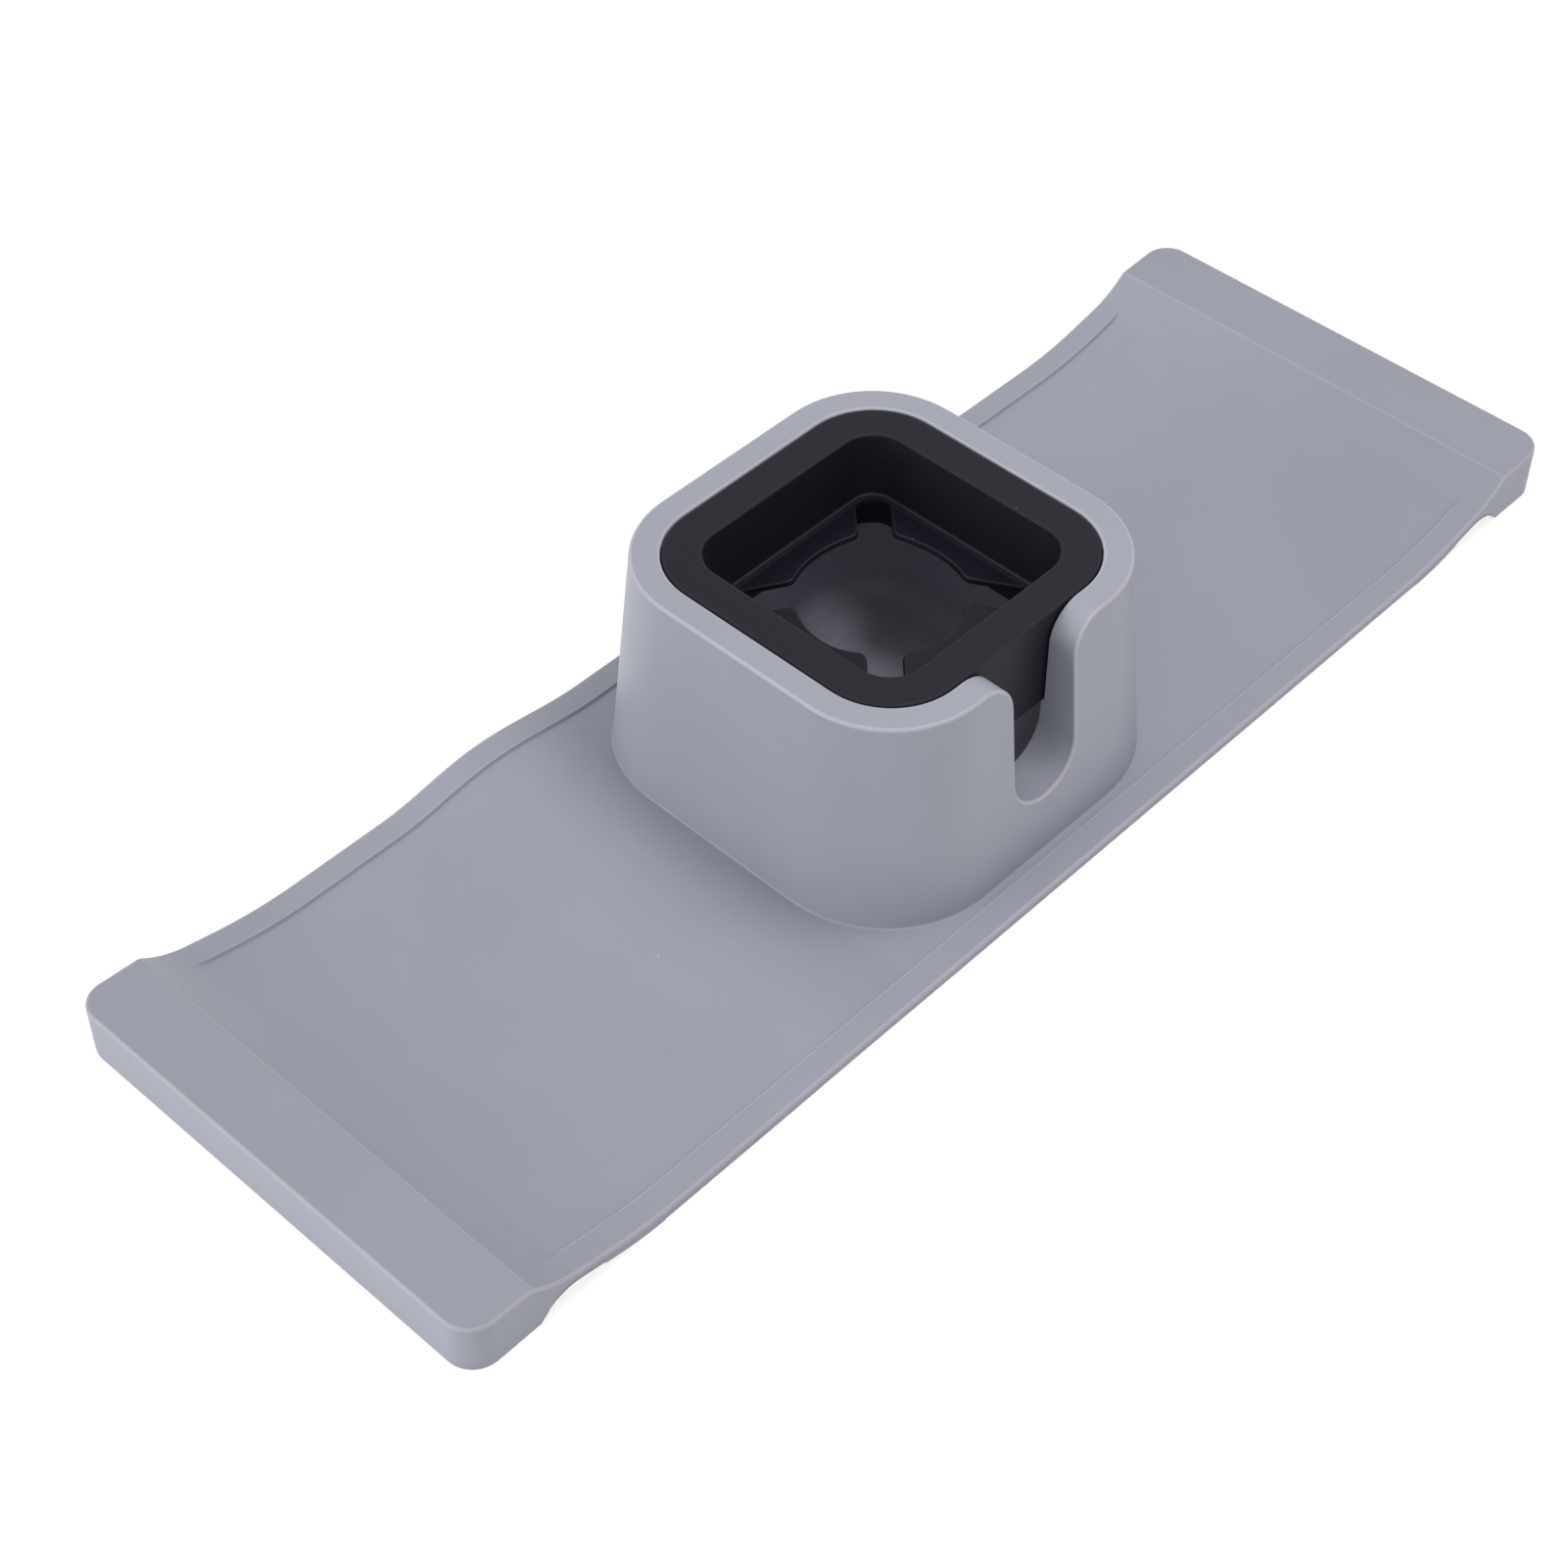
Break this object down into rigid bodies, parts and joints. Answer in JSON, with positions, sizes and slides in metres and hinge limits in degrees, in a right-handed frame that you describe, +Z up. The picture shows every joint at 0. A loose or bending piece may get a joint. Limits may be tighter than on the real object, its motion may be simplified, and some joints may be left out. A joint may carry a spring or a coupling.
{
  "type": "sofa arm tray",
  "caption": "Soft silicone tray that drapes over a sofa's arm between weighted end bars, with a square cup holder, a slot for a mug's handle and a lift-out insert with grip flaps.",
  "frame": {"origin": "centre of the flat underside, with the tray laid flat", "axes": "+X along the tray's length, +Y across it away from the handle slot, +Z up out of the cup holder"},
  "size_m": [0.45, 0.15, 0.072],
  "materials": {
    "grey_silicone": "matte, soft to touch",
    "black_silicone": "matte, soft to touch",
    "steel": "plain, sealed inside"
  },
  "bodies": {
    "holder": {"cup_holder": "grey_silicone"},
    "right_strip_1": {"right_web_1": "grey_silicone"},
    "right_strip_2": {"right_web_2": "grey_silicone"},
    "right_strip_3": {"right_web_3": "grey_silicone"},
    "right_wing": {"right_wing": "grey_silicone", "right_weight": "steel"},
    "left_strip_1": {"left_web_1": "grey_silicone"},
    "left_strip_2": {"left_web_2": "grey_silicone"},
    "left_strip_3": {"left_web_3": "grey_silicone"},
    "left_wing": {"left_wing": "grey_silicone", "left_weight": "steel"},
    "insert": {"cup_insert": "black_silicone"},
    "flap_front": {"grip_flap_front": "black_silicone"},
    "flap_back": {"grip_flap_back": "black_silicone"},
    "flap_left": {"grip_flap_left": "black_silicone"},
    "flap_right": {"grip_flap_right": "black_silicone"}
  },
  "joints": [
    {"name": "right_bend_1", "type": "hinge", "parent": "holder", "child": "right_strip_1", "pos_m": [0.078, 0, 0], "axis": [0, 1, 0], "range_deg": [0, 22.5], "stiffness_Nm_per_rad": 0.04},
    {"name": "right_bend_2", "type": "hinge", "parent": "right_strip_1", "child": "right_strip_2", "pos_m": [0.094, 0, 0], "axis": [0, 1, 0], "range_deg": [0, 22.5], "stiffness_Nm_per_rad": 0.04},
    {"name": "right_bend_3", "type": "hinge", "parent": "right_strip_2", "child": "right_strip_3", "pos_m": [0.11, 0, 0], "axis": [0, 1, 0], "range_deg": [0, 22.5], "stiffness_Nm_per_rad": 0.04},
    {"name": "right_bend_4", "type": "hinge", "parent": "right_strip_3", "child": "right_wing", "pos_m": [0.126, 0, 0], "axis": [0, 1, 0], "range_deg": [0, 22.5], "stiffness_Nm_per_rad": 0.04},
    {"name": "left_bend_1", "type": "hinge", "parent": "holder", "child": "left_strip_1", "pos_m": [-0.078, 0, 0], "axis": [0, -1, 0], "range_deg": [0, 22.5], "stiffness_Nm_per_rad": 0.04},
    {"name": "left_bend_2", "type": "hinge", "parent": "left_strip_1", "child": "left_strip_2", "pos_m": [-0.094, 0, 0], "axis": [0, -1, 0], "range_deg": [0, 22.5], "stiffness_Nm_per_rad": 0.04},
    {"name": "left_bend_3", "type": "hinge", "parent": "left_strip_2", "child": "left_strip_3", "pos_m": [-0.11, 0, 0], "axis": [0, -1, 0], "range_deg": [0, 22.5], "stiffness_Nm_per_rad": 0.04},
    {"name": "left_bend_4", "type": "hinge", "parent": "left_strip_3", "child": "left_wing", "pos_m": [-0.126, 0, 0], "axis": [0, -1, 0], "range_deg": [0, 22.5], "stiffness_Nm_per_rad": 0.04},
    {"name": "insert_lift", "type": "slide", "parent": "holder", "child": "insert", "axis": [0, 0, 1], "range_m": [0, 0.1]},
    {"name": "flap_front_bend", "type": "hinge", "parent": "insert", "child": "flap_front", "pos_m": [0, -0.0318, 0.0512], "axis": [-1, 0, 0], "range_deg": [0, 90], "stiffness_Nm_per_rad": 0.015},
    {"name": "flap_back_bend", "type": "hinge", "parent": "insert", "child": "flap_back", "pos_m": [0, 0.0318, 0.0512], "axis": [1, 0, 0], "range_deg": [0, 90], "stiffness_Nm_per_rad": 0.015},
    {"name": "flap_left_bend", "type": "hinge", "parent": "insert", "child": "flap_left", "pos_m": [-0.0318, 0, 0.0512], "axis": [0, 1, 0], "range_deg": [0, 90], "stiffness_Nm_per_rad": 0.015},
    {"name": "flap_right_bend", "type": "hinge", "parent": "insert", "child": "flap_right", "pos_m": [0.0318, 0, 0.0512], "axis": [0, -1, 0], "range_deg": [0, 90], "stiffness_Nm_per_rad": 0.015}
  ],
  "couplings": [
    {"joint": "right_bend_2", "follows": "right_bend_1", "ratio": 1},
    {"joint": "right_bend_3", "follows": "right_bend_1", "ratio": 1},
    {"joint": "right_bend_4", "follows": "right_bend_1", "ratio": 1},
    {"joint": "left_bend_2", "follows": "left_bend_1", "ratio": 1},
    {"joint": "left_bend_3", "follows": "left_bend_1", "ratio": 1},
    {"joint": "left_bend_4", "follows": "left_bend_1", "ratio": 1}
  ]
}
